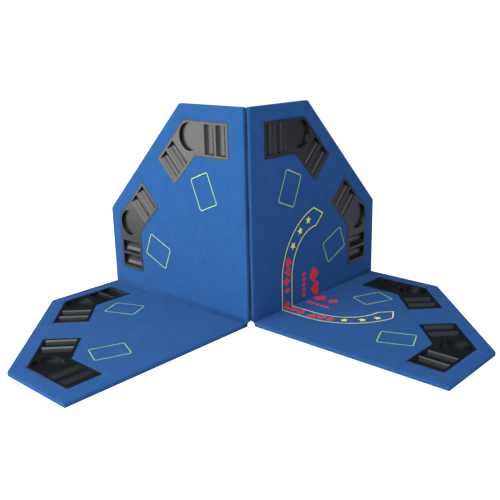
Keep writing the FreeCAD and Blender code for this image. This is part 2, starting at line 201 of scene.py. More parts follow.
def rounded(corners, radii, steps=ARC_STEPS):
    """A closed polygon with each corner turned into an arc of its radius."""
    points = []
    for number, (corner, radius) in enumerate(zip(corners, radii)):
        here = Vector(corner)
        before = (Vector(corners[number - 1]) - here).normalized()
        after = (Vector(corners[(number + 1) % len(corners)]) - here).normalized()
        if radius <= 0:
            points.append(tuple(here))
            continue
        half_angle = before.angle(after) / 2
        centre = here + (before + after).normalized() * radius / math.sin(half_angle)
        first = here + before * radius / math.tan(half_angle) - centre
        last = here + after * radius / math.tan(half_angle) - centre
        start = math.atan2(first.y, first.x)
        sweep = math.atan2(last.y, last.x) - start
        sweep = (sweep + math.pi) % (2 * math.pi) - math.pi
        points += arc(centre, radius, start, start + sweep, steps)
    return points


def panel_edge(half, inset):
    """The panel's wrapped edge, from the fold beside the seam round to the fold's far end,
    drawn in by inset. It has the same number of points whatever the inset."""
    reach = half.reach - inset
    shoulder = half.shoulder - inset * math.tan(HALF_TURN)
    corner = max(CORNER_RADIUS - inset, LEAST_RADIUS)
    vertex = max(VERTEX_RADIUS - inset, LEAST_RADIUS)
    corners = [(inset, 0), (inset, reach), (shoulder, reach), (reach, shoulder), (reach, 0)]
    return rounded(corners, [0, corner, vertex, vertex, 0])


def seam_stops(half):
    """Where each hinge leaf starts and ends along the panel's seam side, with its play."""
    stops = []
    for hinge in HINGES:
        low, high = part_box(f"{hinge}_hinge_{half.side}_leaf")
        start = low.z - half.fold.z - half.gap
        end = high.z - half.fold.z - half.gap
        stops.append((start - LEAF_PLAY, end + LEAF_PLAY))
    return stops


def edge_ring(half, inset):
    """The wrapped edge with its seam side divided at the hinges, and its other sides evenly.
    A point's place along each run depends on its share of the run, so rings match up."""
    line = panel_edge(half, inset)
    outs = [0.0] + [stop for pair in seam_stops(half) for stop in pair] + [line[1][1]]
    seam_side = [(inset, out) for out in outs]
    rest = [line[1]]
    for start, end in zip(line[1:], line[2:]):
        count = SIDE_STEPS if math.dist(start, end) > LONG_SIDE else 1
        for k in range(1, count + 1):
            share = k / count
            rest.append(tuple(a + (b - a) * share for a, b in zip(start, end)))
    return seam_side[:-1] + rest


def wrap_profile(half):
    """The felt's section where it wraps an edge: pairs of inset and depth."""
    profile = []
    for k in range(WRAP_STEPS + 1):
        turn = math.pi / 2 * k / WRAP_STEPS
        profile.append((PLAY_ROLL * (1 - math.sin(turn)), PLAY_ROLL * (1 - math.cos(turn))))
    profile.append((0.0, half.thick / 2))
    profile.append((0.0, half.thick - KNUCKLE_WINDOW))
    for k in range(1, HEM_STEPS + 1):
        turn = math.pi / 2 * k / HEM_STEPS
        low = half.thick - BACK_ROLL * (1 - math.sin(turn))
        profile.append((BACK_ROLL * (1 - math.cos(turn)), low))
    for inset in (6 * MM, 12 * MM, LEAF_WIDTH + LEAF_PLAY, HEM_WIDTH):
        profile.append((inset, half.thick))
    return profile


def tray_outline(half, turn, inset):
    """The chevron of a tray or of the hole that it hangs in, as (along, out) points."""
    outer = half.middle_to_side - TRAY_BORDER - inset
    inner = half.middle_to_side - TRAY_BORDER - TRAY_WIDTH + inset
    end = TRAY_END + inset
    cos, sin = math.cos(HALF_TURN), math.sin(HALF_TURN)

    def corner(distance, side):
        return distance * cos + end * sin, side * (distance * sin - end * cos)

    points = [
        (outer / cos, 0.0),
        corner(outer, 1),
        corner(inner, 1),
        (inner / cos, 0.0),
        corner(inner, -1),
        corner(outer, -1),
    ]
    spin = Matrix.Rotation(turn, 2)
    middle = Vector((-half.gap, -half.gap))
    return [tuple(middle + spin @ Vector(p)) for p in points]


# ---------------------------------------------------------------- the print


def moved(points, place=(0, 0), turn=0.0, size=1.0):
    """A shape turned, scaled and put in its place."""
    cos, sin = math.cos(turn) * size, math.sin(turn) * size
    return [(place[0] + x * cos - y * sin, place[1] + x * sin + y * cos) for x, y in points]


def centred(number, count, step):
    """The place of one of a count of evenly spaced things, with their middle at 0."""
    return (number - (count - 1) / 2) * step


def offset_loop(points, distance):
    """A closed loop drawn in to its left by distance, with mitred corners."""
    result = []
    for number, point in enumerate(points):
        here = Vector(point)
        before = (here - Vector(points[number - 1])).normalized()
        after = (Vector(points[(number + 1) % len(points)]) - here).normalized()
        left_before, left_after = Vector((-before.y, before.x)), Vector((-after.y, after.x))
        sharpness = max(LEAST_MITRE, 1 + left_before.dot(left_after))
        result.append(tuple(here + (left_before + left_after) * (distance / sharpness)))
    return result


def stroke(points, width):
    """A closed line of ink, as its outer and inner loops."""
    return {"solid": [offset_loop(points, -width / 2)], "open": [offset_loop(points, width / 2)]}


def filled(*loops):
    return {"solid": list(loops), "open": []}


def betting_box(half, level, turn):
    corners = [(-BOX_LENGTH / 2, -BOX_WIDTH / 2), (BOX_LENGTH / 2, -BOX_WIDTH / 2)]
    corners += [(-x, -y) for x, y in corners]
    loop = rounded(corners, [BOX_CORNER] * 4, 4)
    shift_along, shift_out = BOX_SHIFT[f"{half.side}_{level}"]
    along = BOX_RADIUS * math.cos(turn) - half.gap + shift_along
    out = BOX_RADIUS * math.sin(turn) - half.gap + shift_out
    row = stroke(moved(loop, (along, out), turn), BOX_INK[half.side])
    return row if level == "base" else changed(row, lambda x, y: (x, -y))


def changed(row, change):
    """The same ink with each of its points changed."""
    return {
        kind: [[change(x, y) for x, y in loop] for loop in loops] for kind, loops in row.items()
    }


def star(points=5, inner=0.42):
    turns = [math.pi / 2 + math.pi * k / points for k in range(2 * points)]
    radii = [1 if k % 2 == 0 else inner for k in range(2 * points)]
    return [(r * math.cos(t), r * math.sin(t)) for r, t in zip(radii, turns)]


def heart(steps=28):
    """A heart of height 2, point down."""
    points = []
    for k in range(steps):
        t = 2 * math.pi * k / steps
        x = 16 * math.sin(t) ** 3
        y = 13 * math.cos(t) - 5 * math.cos(2 * t) - 2 * math.cos(3 * t) - math.cos(4 * t)
        points.append((-x / 15, (y + 2.5) / 15))
    return points


def diamond():
    """A diamond of height 2 with slightly hollow sides."""
    tips = [(0.0, 1.0), (-0.72, 0.0), (0.0, -1.0), (0.72, 0.0)]
    points = []
    for tip, after in zip(tips, tips[1:] + tips[:1]):
        points.append(tip)
        points.append((0.46 * (tip[0] + after[0]), 0.46 * (tip[1] + after[1])))
    return points


def stem():
    return [(-0.42, -1.0), (0.42, -1.0), (0.08, -0.2), (-0.08, -0.2)]


def spade():
    return [[(-x, -y * 0.92 + 0.14) for x, y in heart()], stem()]


def club(steps=18):
    lobes = [(0.0, 0.5), (-0.46, -0.2), (0.46, -0.2)]
    circles = [arc(c, 0.46, 0, 2 * math.pi * (steps - 1) / steps, steps - 1) for c in lobes]
    return [*circles, stem()]


def pip(name, place, height, turn):
    """A card suit's pip, its top along the fold, away from the seam."""
    shapes = {"heart": [heart()], "diamond": [diamond()], "spade": spade(), "club": club()}
    return filled(*(moved(s, place, turn - math.pi / 2, height / 2) for s in shapes[name]))


# The dealer's band on the right half, symmetric about the fold.
BAND_OUTER = 128 * MM
BAND_WIDTH = 45 * MM
BAND_STRAIGHT = 87 * MM  # from the fold to where the band starts to curve
BAND_RADIUS = 205 * MM
BAND_TURN = math.radians(75)
INNER_ALONG = 118 * MM  # half axes of the ellipse that the inner line follows
INNER_ACROSS = 140 * MM
BAND_TIP = (325 * MM, 260 * MM)
BAND_STEPS = 22
STAR_RADIUS = 13.5 * MM
STAR_PLACES = (186 * MM, 225 * MM, 251 * MM)  # from the fold, on both sides of it
BAND_PIP = 27 * MM
BAND_PIP_STEP = 29 * MM
BAND_GROUPS = ((-97 * MM, 4), (22 * MM, 3), (121 * MM, 3))  # middle and number of pips
SUITS = ("spade", "heart", "club", "diamond")
LARGE_PIP = 43 * MM
LARGE_PIP_STEP = 47 * MM
LARGE_PIP_ROW = 284 * MM  # from the seam
SMALL_PIP = 22 * MM
SMALL_PIP_STEP = 17 * MM
SMALL_PIP_ROW = 231 * MM
SMALL_GROUPS = (-51 * MM, 51 * MM)  # middles of the groups
SMALL_COUNT = 5


def band_loop():
    """The band's outline, in (along, across) with the fold at across 0."""
    outer, inner = [], []
    for k in range(BAND_STEPS + 1):
        turn = BAND_TURN * k / BAND_STEPS
        along = BAND_OUTER + BAND_RADIUS * (1 - math.cos(turn))
        outer.append((along, BAND_STRAIGHT + BAND_RADIUS * math.sin(turn)))
        turn = math.pi / 2 * k / BAND_STEPS
        along = BAND_OUTER + BAND_WIDTH + INNER_ALONG * (1 - math.cos(turn))
        inner.append((along, BAND_STRAIGHT + INNER_ACROSS * math.sin(turn)))
    upper = [*outer, BAND_TIP, *inner[::-1]]
    lower = [(x, -y) for x, y in upper[::-1]]
    return (lower + upper)[::-1]


def band_middle(across):
    """On the band's middle line: how far along the fold, and the line's turn there."""
    radius = BAND_RADIUS - BAND_WIDTH / 2
    beyond = max(0.0, abs(across) - BAND_STRAIGHT)
    turn = math.asin(beyond / radius)
    along = BAND_OUTER + BAND_WIDTH / 2 + radius * (1 - math.cos(turn))
    return along, -math.copysign(turn, across)


def band_stars():
    rows = []
    for across in STAR_PLACES:
        along, turn = band_middle(across)
        for side in (1, -1):
            place = (along, side * across)
            rows.append(filled(moved(star(), place, side * turn - math.pi / 2, STAR_RADIUS)))
    return rows


def band_pips():
    """Groups of pips where the band carries its wording."""
    rows = []
    for middle, count in BAND_GROUPS:
        for suit, k in zip(SUITS, range(count)):
            across = middle + centred(k, count, BAND_PIP_STEP)
            along, turn = band_middle(across)
            rows.append(pip(suit, (along, across), BAND_PIP, turn))
    return rows


def large_pips():
    places = [centred(k, len(SUITS), LARGE_PIP_STEP) for k in range(len(SUITS))]
    return [pip(suit, (LARGE_PIP_ROW, y), LARGE_PIP, 0.0) for suit, y in zip(SUITS, places)]


def small_pips():
    """Two groups of small diamonds."""
    steps = [centred(k, SMALL_COUNT, SMALL_PIP_STEP) for k in range(SMALL_COUNT)]
    places = [middle + step for middle in SMALL_GROUPS for step in steps]
    return [pip("diamond", (SMALL_PIP_ROW, y), SMALL_PIP, 0.0) for y in places]


def across_layout(across):
    """From the distance beyond the fold to the flat layout, which leaves room for the bend."""
    return across + math.copysign(FOLD_SPAN / 2, across) if across else 0.0


def onto_layout(rows):
    return [changed(row, lambda x, y: (x, across_layout(y))) for row in rows]


def printed(half):
    """The ink on one half, by material: each row has solid loops and open loops."""
    boxes = [betting_box(half, level, turn) for level in LEVELS for turn in TRAY_TURNS.values()]
    ink = {"box_ink": boxes, "band_ink": [], "red_ink": []}
    if half.side == "right":
        ink["band_ink"] = [stroke(band_loop(), BAND_INK), *band_stars()]
        ink["red_ink"] = band_pips() + large_pips() + small_pips()
    return {name: onto_layout(rows) for name, rows in ink.items()}


# ---------------------------------------------------------------- mesh helpers


def inside(points, loop):
    """Which of the points lie inside a closed loop."""
    x, y = points[:, 0], points[:, 1]
    result = np.zeros(len(points), bool)
    for (x1, y1), (x2, y2) in zip(loop, loop[1:] + loop[:1]):
        crosses = (y1 > y) != (y2 > y)
        with np.errstate(divide="ignore", invalid="ignore"):
            at = (x2 - x1) * (y - y1) / (y2 - y1) + x1
        result ^= crosses & (x < at)
    return result


def new_piece(name, mesh_data, materials, smooth_angle=30):
    """A mesh object from a bmesh, smooth except at edges sharper than the angle."""
    mesh = bpy.data.meshes.new(name)
    mesh_data.to_mesh(mesh)
    mesh_data.free()
    for material in materials:
        mesh.materials.append(material)
    mesh.shade_smooth()
    mesh.set_sharp_from_angle(angle=math.radians(smooth_angle))
    piece = bpy.data.objects.new(name, mesh)
    bpy.context.scene.collection.objects.link(piece)
    return piece


def grid_faces(mesh, rows):
    """Faces between rows of vertices."""
    for row, after in zip(rows, rows[1:]):
        for k in range(len(row) - 1):
            mesh.faces.new((row[k], row[k + 1], after[k + 1], after[k]))


def turn_faces(mesh, axis):
    """Turn all the faces so that the first one looks along the positive axis."""
    bmesh.ops.recalc_face_normals(mesh, faces=mesh.faces)
    mesh.faces.ensure_lookup_table()
    if mesh.faces[0].normal[axis] < 0:
        bmesh.ops.reverse_faces(mesh, faces=mesh.faces)


def thicken(piece, thickness, offset):
    """Thickness to the faces' front with an offset of 1, and to their back with -1."""
    solid = piece.modifiers.new("thickness", "SOLIDIFY")
    solid.thickness = thickness
    solid.offset = offset
    return solid


def triangulated(outline, holes, ink, seeds, lines):
    """Triangles of a flat region, with the ink's outlines as edges between them.
    Gives the points, the triangles and each triangle's ink name or None."""
    points, edges = [], []

    def add_line(loop, closed=True):
        first = len(points)
        points.extend(Vector(p) for p in loop)
        edges.extend((first + k, first + k + 1) for k in range(len(loop) - 1))
        if closed:
            edges.append((first + len(loop) - 1, first))

    add_line(outline)
    for hole in holes:
        add_line(hole)
    for rows in ink.values():
        for row in rows:
            for loop in row["solid"] + row["open"]:
                add_line(loop)
    for line in lines:
        add_line(line, closed=False)
    points.extend(Vector(p) for p in seeds)
    flat, _, faces, *_ = geometry.delaunay_2d_cdt(points, edges, [], 0, 1e-6)
    flat = np.array([tuple(p) for p in flat])
    faces = np.array([tuple(f) for f in faces])
    middles = flat[faces].mean(axis=1)
    keep = inside(middles, outline)
    for hole in holes:
        keep &= ~inside(middles, hole)
    faces, middles = faces[keep], middles[keep]
    names = np.full(len(faces), None, object)
    for name, rows in ink.items():
        for row in rows:
            marked = np.zeros(len(faces), bool)
            for loop in row["solid"]:
                marked |= inside(middles, loop)
            for loop in row["open"]:
                marked &= ~inside(middles, loop)
            names[marked] = name
    return flat, faces, names


# ---------------------------------------------------------------- materials


def material(name, build):
    made = bpy.data.materials.new(name)
    made.use_nodes = True
    tree = made.node_tree
    shader = tree.nodes["Principled BSDF"]
    build(tree, shader)
    return made


def node(tree, kind, **values):
    made = tree.nodes.new("ShaderNode" + kind)
    for key, value in values.items():
        if hasattr(made, key):
            setattr(made, key, value)
        else:
            made.inputs[key.replace("_", " ")].default_value = value
    return made


def object_place(tree):
    return node(tree, "TexCoord").outputs["Object"]


def noise(tree, place, scale, detail=3.0, roughness=0.55):
    made = node(tree, "TexNoise", Scale=scale, Detail=detail, Roughness=roughness)
    tree.links.new(place, made.inputs["Vector"])
    return made.outputs["Fac"]


def ramp(tree, value, stops):
    made = node(tree, "ValToRGB")
    elements = made.color_ramp.elements
    while len(elements) < len(stops):
        elements.new(0.5)
    for element, (place, colour) in zip(elements, stops):
        element.position = place
        element.color = (*colour, 1)
    tree.links.new(value, made.inputs["Fac"])
    return made.outputs["Color"]


def mix(tree, share, first, second, blend_type="MIX"):
    made = tree.nodes.new("ShaderNodeMix")
    made.data_type = "RGBA"
    made.blend_type = blend_type
    for number, value in ((0, share), (6, first), (7, second)):
        socket = made.inputs[number]
        if isinstance(value, bpy.types.NodeSocket):
            tree.links.new(value, socket)
        elif isinstance(value, tuple):
            socket.default_value = (*value, 1)
        else:
            socket.default_value = value
    return made.outputs[2]


def bump(tree, shader, heights):
    """Bumps laid over each other: pairs of height socket and (strength, distance)."""
    normal = None
    for height, (strength, distance) in heights:
        made = node(tree, "Bump", Strength=strength, Distance=distance)
        tree.links.new(height, made.inputs["Height"])
        if normal is not None:
            tree.links.new(normal, made.inputs["Normal"])
        normal = made.outputs["Normal"]
    tree.links.new(normal, shader.inputs["Normal"])


def felt_surface(colour, fuzz):
    """Felt of a colour: matted fibres, a faint mottle and a soft bloom at grazing angles."""

    def build(tree, shader):
        place = object_place(tree)
        fibre = noise(tree, place, 330, 5, 0.75)
        dark = tuple(c * 0.95 for c in colour)
        light = tuple(min(1, c * 1.05) for c in colour)
        cloudy = ramp(tree, noise(tree, place, 30, 3), [(0.35, dark), (0.65, light)])
        fleck = ramp(tree, fibre, [(0.3, (0.66, 0.66, 0.66)), (0.7, (1.3, 1.3, 1.3))])
        tree.links.new(mix(tree, 1.0, cloudy, fleck, "MULTIPLY"), shader.inputs["Base Color"])
        shader.inputs["Roughness"].default_value = 0.95
        shader.inputs["Specular IOR Level"].default_value = 0.06
        shader.inputs["Sheen Weight"].default_value = fuzz
        shader.inputs["Sheen Roughness"].default_value = 0.5
        bump(tree, shader, [(fibre, (0.6, 0.35 * MM))])

    return build


def tray_surface(tree, shader):
    """Satin moulded plastic with a fine grain and faint scuffs."""
    place = object_place(tree)
    grain = noise(tree, place, 1400, 2)
    scuff = noise(tree, place, 24, 6, 0.7)
    shade = ramp(tree, scuff, [(0.3, (0.004, 0.005, 0.006)), (0.75, (0.007, 0.009, 0.011))])
    tree.links.new(shade, shader.inputs["Base Color"])
    rough = node(tree, "MapRange", From_Min=0.25, From_Max=0.75, To_Min=0.24, To_Max=0.34)
    tree.links.new(scuff, rough.inputs["Value"])
    tree.links.new(rough.outputs["Result"], shader.inputs["Roughness"])
    shader.inputs["Specular IOR Level"].default_value = 0.55
    bump(tree, shader, [(grain, (0.12, 0.015 * MM))])


def steel_surface(tree, shader):
    """Steel with a black plating, with rolled streaks along it."""
    place = object_place(tree)
    stretched = node(tree, "Mapping")
    stretched.inputs["Scale"].default_value = (1, 1, 0.06)
    tree.links.new(place, stretched.inputs["Vector"])
    streak = noise(tree, stretched.outputs["Vector"], 1200, 3)
    shade = ramp(tree, streak, [(0.3, (0.035, 0.035, 0.04)), (0.7, (0.07, 0.07, 0.075))])
    tree.links.new(shade, shader.inputs["Base Color"])
    rough = node(tree, "MapRange", From_Min=0.3, From_Max=0.7, To_Min=0.26, To_Max=0.42)
    tree.links.new(streak, rough.inputs["Value"])
    tree.links.new(rough.outputs["Result"], shader.inputs["Roughness"])
    shader.inputs["Metallic"].default_value = 1.0
    bump(tree, shader, [(streak, (0.2, 0.05 * MM))])


def board_surface(tree, shader):
    """The cut edge of fibreboard."""
    place = object_place(tree)
    grain = noise(tree, place, 700, 4, 0.7)
    shade = ramp(tree, grain, [(0.3, (0.26, 0.16, 0.08)), (0.7, (0.42, 0.28, 0.15))])
    tree.links.new(shade, shader.inputs["Base Color"])
    shader.inputs["Roughness"].default_value = 0.85
    bump(tree, shader, [(grain, (0.5, 0.3 * MM))])


def foam_surface(tree, shader):
    """Open-celled foam, with painted shade in the hollows of its cells."""
    place = object_place(tree)
    cells = node(tree, "TexVoronoi", Scale=900.0)
    tree.links.new(place, cells.inputs["Vector"])
    depth = cells.outputs["Distance"]
    # Painted shade: the colour gets darker the deeper a point lies in its cell's hollow.
    shade = ramp(tree, depth, [(0.1, (0.32, 0.32, 0.31)), (0.6, (0.6, 0.6, 0.57))])
    tree.links.new(shade, shader.inputs["Base Color"])
    shader.inputs["Roughness"].default_value = 0.95
    bump(tree, shader, [(depth, (0.6, 0.4 * MM))])


def cover_surface(tree, shader):
    """Black fibre sheet with a pressed leather grain."""
    place = object_place(tree)
    grain = node(tree, "TexVoronoi", Scale=420.0, feature="SMOOTH_F1")
    tree.links.new(place, grain.inputs["Vector"])
    wear = noise(tree, place, 12, 6, 0.65)
    shade = ramp(tree, wear, [(0.3, (0.012, 0.012, 0.013)), (0.75, (0.030, 0.030, 0.032))])
    tree.links.new(shade, shader.inputs["Base Color"])
    rough = node(tree, "MapRange", From_Min=0.25, From_Max=0.75, To_Min=0.45, To_Max=0.68)
    tree.links.new(wear, rough.inputs["Value"])
    tree.links.new(rough.outputs["Result"], shader.inputs["Roughness"])
    bump(tree, shader, [(grain.outputs["Distance"], (0.35, 0.25 * MM))])


def webbing_surface(tree, shader):
    """Black woven webbing: ribs across the fold, crossed by fine threads."""
    place = object_place(tree)
    threads = node(tree, "TexWave", Scale=260.0, Distortion=0.6)
    tree.links.new(place, threads.inputs["Vector"])
    fleck = noise(tree, place, 1500, 3)
    shade = ramp(tree, fleck, [(0.3, (0.012, 0.012, 0.014)), (0.7, (0.035, 0.035, 0.04))])
    tree.links.new(shade, shader.inputs["Base Color"])
    shader.inputs["Roughness"].default_value = 0.9
    bump(tree, shader, [(threads.outputs["Fac"], (0.5, 0.3 * MM))])


FELT_BLUE = (0.0195, 0.0915, 0.276)
BOX_YELLOW_GREEN = (0.42, 0.68, 0.05)
BAND_YELLOW = (0.92, 0.97, 0.09)
PIP_RED = (0.86, 0.04, 0.05)

FELT_MATERIALS = {
    None: material("felt", felt_surface(FELT_BLUE, 0.04)),
    "box_ink": material("box_ink", felt_surface(BOX_YELLOW_GREEN, 0.02)),
    "band_ink": material("band_ink", felt_surface(BAND_YELLOW, 0.02)),
    "red_ink": material("red_ink", felt_surface(PIP_RED, 0.02)),
}
SURFACES = {
    "tray": material("tray_plastic", tray_surface),
    "hinge_steel": material("hinge_plating", steel_surface),
    "board": material("fibreboard", board_surface),
    "foam": material("foam", foam_surface),
    "back_cover": material("fibre_sheet", cover_surface),
    "webbing": material("webbing_weave", webbing_surface),
}


# ---------------------------------------------------------------- soft pieces


def play_layout(half):
    """The play face of both panels on the flat layout: outline, holes, grid and fold lines."""
    edge = edge_ring(half, PLAY_ROLL)
    half_span = FOLD_SPAN / 2
    shares = [k / FOLD_STEPS for k in range(1, FOLD_STEPS)]
    down = [half_span - share * FOLD_SPAN for share in shares]
    base = [(x, y + half_span) for x, y in edge]
    upright = [(x, -y - half_span) for x, y in edge]
    far, near = edge[-1][0], edge[0][0]
    outline = base + [(far, y) for y in down] + upright[::-1] + [(near, -y) for y in down]
    holes = []
    for turn in TRAY_TURNS.values():
        hole = tray_outline(half, turn, FLANGE_LAP)
        holes.append([(x, y + half_span) for x, y in hole])
        holes.append([(x, -y - half_span) for x, y in hole])
    lines = [[(near, y), (far, y)] for y in [half_span, *down, -half_span]]
    count = int(half.reach / FELT_GRID)
    ticks = [half.reach * (k + 0.5) / count for k in range(count)]
    seeds = [(x, sign * (y + half_span)) for x in ticks for y in ticks for sign in (1, -1)]
    return outline, holes, seeds, lines


def wrap_faces(half, level, mesh):
    """The felt round one panel's edges and its hem, open at the hinge leaves."""
    profile = wrap_profile(half)
    rings = []
    for inset, depth in profile:
        ring = [half.on_panel(level, x, y, depth) for x, y in edge_ring(half, inset)]
        rings.append([mesh.verts.new(p) for p in ring])
    seam_points = 1 + 2 * len(HINGES)
    window_top = half.thick - KNUCKLE_WINDOW - 1e-9
    cut_from = next(k for k, (_, depth) in enumerate(profile) if depth >= window_top)
    for number, (upper, lower) in enumerate(zip(rings, rings[1:])):
        hem_left = profile[number][0] >= LEAF_WIDTH
        for k in range(len(upper) - 1):
            leaf_window = k < seam_points and k % 2 == 1
            if level == "upright" and leaf_window and number >= cut_from and not hem_left:
                continue
            mesh.faces.new((upper[k], upper[k + 1], lower[k + 1], lower[k]))


def make_felt(half):
    """One felt for both panels of a half, wrapped round their edges."""
    ink = printed(half)
    outline, holes, seeds, lines = play_layout(half)
    flat, faces, names = triangulated(outline, holes, ink, seeds, lines)
    mesh = bmesh.new()
    places = [mesh.verts.new(half.on_layout(x, y, 0.0)) for x, y in flat]
    order = list(FELT_MATERIALS)
    for face, name in zip(faces, names):
        made = mesh.faces.new([places[k] for k in face])
        made.material_index = order.index(name)
    for level in LEVELS:
        wrap_faces(half, level, mesh)
    bmesh.ops.remove_doubles(mesh, verts=mesh.verts, dist=WELD)
    loose = [v for v in mesh.verts if not v.link_faces]
    bmesh.ops.delete(mesh, geom=loose, context="VERTS")
    bmesh.ops.recalc_face_normals(mesh, faces=mesh.faces)
    level_faces = [f for f in mesh.faces if abs(f.normal.z) > 0.9]
    play_faces = [f for f in level_faces if f.calc_center_median().z > half.thick / 2]
    if max(play_faces, key=lambda f: f.calc_area()).normal.z < 0:
        bmesh.ops.reverse_faces(mesh, faces=mesh.faces)
    surface_area = sum(f.calc_area() for f in mesh.faces)
    piece = new_piece(f"{half.side}_felt", mesh, FELT_MATERIALS.values())
    thicken(piece, FELT_THICK * FELT_SHARE, -1).use_even_offset = True
    half.blend(piece)
    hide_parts(*(f"{half.side}_{level}_felt" for level in LEVELS))


def make_webbing(half):
    """The strip under the felt that carries the fold."""
    mesh = bmesh.new()
    outs = [WEBBING_WIDTH * k / 4 for k in range(5)]
    across = [FOLD_SPAN / 2 + y for y in outs[::-1]]
    across += [FOLD_SPAN / 2 - FOLD_SPAN * k / FOLD_STEPS for k in range(1, FOLD_STEPS)]
    across += [-FOLD_SPAN / 2 - y for y in outs]
    near, far = FELT_THICK, half.reach - FELT_THICK
    alongs = [near + (far - near) * k / WEBBING_STEPS for k in range(WEBBING_STEPS + 1)]
    rows = [[mesh.verts.new(half.on_layout(x, y, FELT_THICK)) for x in alongs] for y in across]
    grid_faces(mesh, rows)
    turn_faces(mesh, axis=2)
    piece = new_piece(f"{half.side}_fold_webbing", mesh, [SURFACES["webbing"]])
    thicken(piece, FOAM_THICK * WEBBING_SHARE, -1)
    half.blend(piece)
    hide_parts(*(f"{half.side}_{level}_fold_webbing" for level in LEVELS))


def seam_stretches():
    """The heights of the stretches of the seam that lie between the hinges."""
    half = halves[0]
    foot = half.fold.z + half.gap
    stops = [foot + SEAM_END]
    for start, end in seam_stops(half):
        stops += [foot + start, foot + end]
    stops.append(foot + half.reach - SEAM_END)
    return list(zip(stops[::2], stops[1::2]))


def tape_section():
    """Across the tape, from the left panel's back round the seam's axis to the right's."""
    seam = Vector(joint("centre_seam")["pos_m"])
    left = halves[0]
    corner = left.on_panel("upright", 0, 0, left.thick) - seam
    drop = math.sqrt(max(0.0, corner.xy.length_squared - left.gap**2)) - TAPE_CLEAR
    runs = [TAPE_WIDTH, TAPE_WIDTH * 0.6, TAPE_WIDTH * 0.25, TAPE_START]
    slope = math.sqrt(0.5)  # each upright panel stands at 45 degrees to the middle plane
    section = [(seam.x - (run + drop) * slope, seam.y + (run - drop) * slope) for run in runs]
    start = math.atan2(section[-1][1] - seam.y, section[-1][0] - seam.x)
    radius = math.dist(section[-1], (seam.x, seam.y))
    sweep = 2 * (1.5 * math.pi - start % (2 * math.pi))
    for k in range(1, TAPE_STEPS):
        share = k / TAPE_STEPS
        size = radius * (1 - TAPE_DIP * math.sin(math.pi * share))
        turn = start + sweep * share
        section.append((seam.x + size * math.cos(turn), seam.y + size * math.sin(turn)))
    return section + [(2 * seam.x - x, y) for x, y in section[len(runs) - 1 :: -1]]


def make_seam_tapes():
    """Black cloth tape behind the seam, between the hinges, that keeps light out of it."""
    section = tape_section()
    names = ("lowest", "lower", "upper", "highest")
    for name, (low, high) in zip(names, seam_stretches()):
        mesh = bmesh.new()
        count = max(2, round((high - low) / TAPE_SPACING))
        heights = [low + (high - low) * k / count for k in range(count + 1)]
        rows = [[mesh.verts.new((x, y, z)) for z in heights] for x, y in section]
        grid_faces(mesh, rows)
        turn_faces(mesh, axis=1)
        piece = new_piece(f"{name}_seam_tape", mesh, [SURFACES["webbing"]], 60)
        thicken(piece, TAPE_THICK, 1)
        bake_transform(piece)


def bead_loop(half, turn, inset):
    """A line round a tray's flange, drawn in by inset, with its corners rounded."""
    corners = tray_outline(half, turn, inset)
    radii = [TRAY_CORNER - inset] * len(corners)
    radii[3] = TRAY_CORNER + inset  # the corner that points inward
    return rounded(corners, [max(r, LEAST_RADIUS) for r in radii])


def make_tray_bead(half, level, place, turn):
    """The rounded ridge near the edge of a tray's flange."""
    section = [(BEAD_PLACE + BEAD_HALF, FLANGE_THICK - BEAD_ROOT)]
    for k in range(BEAD_STEPS + 1):
        turned = math.pi * k / BEAD_STEPS
        inset = BEAD_PLACE + BEAD_HALF * math.cos(turned)
        section.append((inset, FLANGE_THICK + BEAD_RISE * math.sin(turned)))
    section.append((BEAD_PLACE - BEAD_HALF, FLANGE_THICK - BEAD_ROOT))
    mesh = bmesh.new()
    rings = []
    for inset, rise in section:
        loop = bead_loop(half, turn, inset)
        rings.append([mesh.verts.new(half.on_panel(level, x, y, -rise)) for x, y in loop])
    for ring, after in zip(rings, rings[1:] + rings[:1]):
        for k in range(len(ring)):
            n = (k + 1) % len(ring)
            mesh.faces.new((ring[k], ring[n], after[n], after[k]))
    bmesh.ops.recalc_face_normals(mesh, faces=mesh.faces)
    name = f"{half.side}_{level}_{place}_tray_bead"
    piece = new_piece(name, mesh, [SURFACES["tray"]], 50)
    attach(piece, f"{half.side}_{level}")


# ---------------------------------------------------------------- CAD nodes


EASED = {"tray": 0.6 * MM, "back_cover": 0.15 * MM, "hinge_steel": 0.12 * MM}
CAD_WELD = 0.001 * MM


def dress_nodes():
    """A material for each CAD node that stays, and eased edges on what is moulded or cut."""
    slots = {row["node"]: row["material_slot"] for row in frame["record"]["subparts"]}
    for name, piece in frame["nodes"].items():
        slot = slots[name]
        if slot not in SURFACES:
            continue
        piece.data.materials.clear()
        piece.data.materials.append(SURFACES[slot])
        if slot in EASED:
            weld = piece.modifiers.new("weld", "WELD")
            weld.merge_threshold = CAD_WELD
            bevel = piece.modifiers.new("eased edges", "BEVEL")
            bevel.width = EASED[slot]
            bevel.segments = 2
            bevel.limit_method = "ANGLE"
            bevel.angle_limit = math.radians(30)
            weighted = piece.modifiers.new("flat faces stay flat", "WEIGHTED_NORMAL")
            weighted.weight = 100


# ---------------------------------------------------------------- studio


# The camera, fitted to the photograph's outline.
CAMERA_YAW = math.radians(2.846)
CAMERA_PITCH = math.radians(15.66)  # down
CAMERA_ROLL = math.radians(-1.122)
CAMERA_PLACE = Vector((-0.0667, -1.9004, 0.79546))  # from the foot of the centre seam
CAMERA_LENS = 51.09
CAMERA_SHIFT = (-0.0177, -0.0247)

WARM = (1.0, 0.98, 0.93)
COOL = (0.95, 0.95, 1.0)
SKY = (0.8, 0.9, 1.0)
VIOLET = (0.9, 0.82, 1.0)
ROOM_TINT = (0.75, 0.95, 1.15)
# The room's brightness by height, from 0 at the horizon to 1 overhead.
ROOM_GREYS = ((0.0, 0.20), (0.1, 0.05), (0.6, 0.05), (0.85, 0.2))


